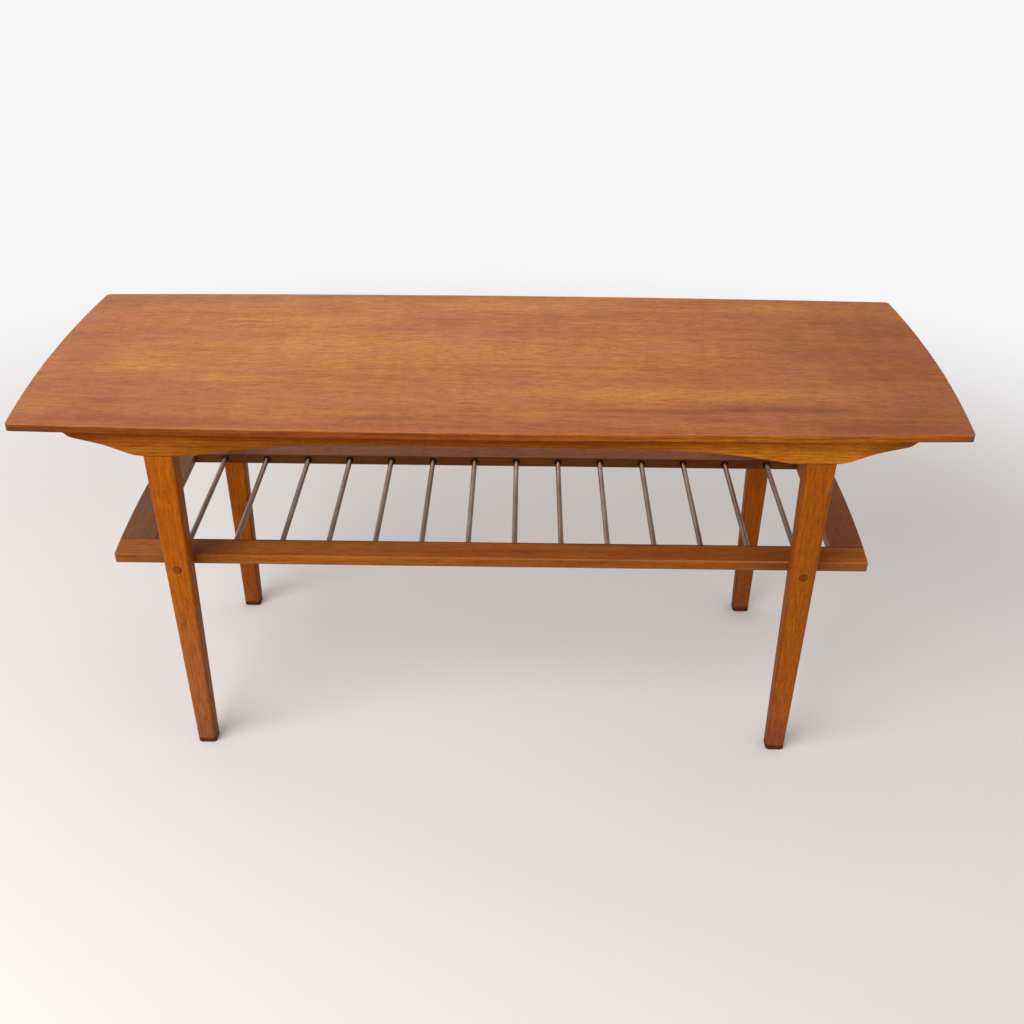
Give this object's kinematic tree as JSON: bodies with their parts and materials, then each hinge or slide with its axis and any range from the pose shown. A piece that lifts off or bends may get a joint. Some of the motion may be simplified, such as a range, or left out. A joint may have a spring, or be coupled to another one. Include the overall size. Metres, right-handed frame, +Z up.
{
  "type": "coffee table",
  "caption": "Boat-shaped coffee table with a thin bevelled top, gull-wing aprons, upright tapered legs and an open rack of metal rods below for magazines.",
  "frame": {"origin": "on the floor under the middle of the top", "axes": "+X along the table, to the right seen from the front; +Y to the rear; +Z up"},
  "size_m": [1.12, 0.4118, 0.505],
  "materials": {
    "top_teak": "satin",
    "frame_teak": "satin",
    "plug_teak": "satin",
    "rod_metal": "dulled",
    "screw_steel": "plain",
    "dowel_wood": "raw"
  },
  "bodies": {
    "root": {"table_top": "top_teak", "front_apron": "frame_teak", "rear_apron": "frame_teak", "leg_front_left": "frame_teak", "leg_front_right": "frame_teak", "leg_rear_left": "frame_teak", "leg_rear_right": "frame_teak", "shelf_rail_front": "frame_teak", "shelf_rail_rear": "frame_teak", "shelf_end_left": "frame_teak", "shelf_end_right": "frame_teak", "rod_01": "rod_metal", "rod_02": "rod_metal", "rod_03": "rod_metal", "rod_04": "rod_metal", "rod_05": "rod_metal", "rod_06": "rod_metal", "rod_07": "rod_metal", "rod_08": "rod_metal", "rod_09": "rod_metal", "rod_10": "rod_metal", "rod_11": "rod_metal", "rod_12": "rod_metal", "rod_13": "rod_metal", "rod_14": "rod_metal", "plug_front_left": "plug_teak", "plug_front_right": "plug_teak", "plug_rear_left": "plug_teak", "plug_rear_right": "plug_teak", "cross_rail_left": "frame_teak", "cross_rail_right": "frame_teak", "top_screws": "screw_steel", "leg_screws": "screw_steel", "shelf_dowels": "dowel_wood", "cross_rail_dowels": "dowel_wood"}
  },
  "joints": []
}
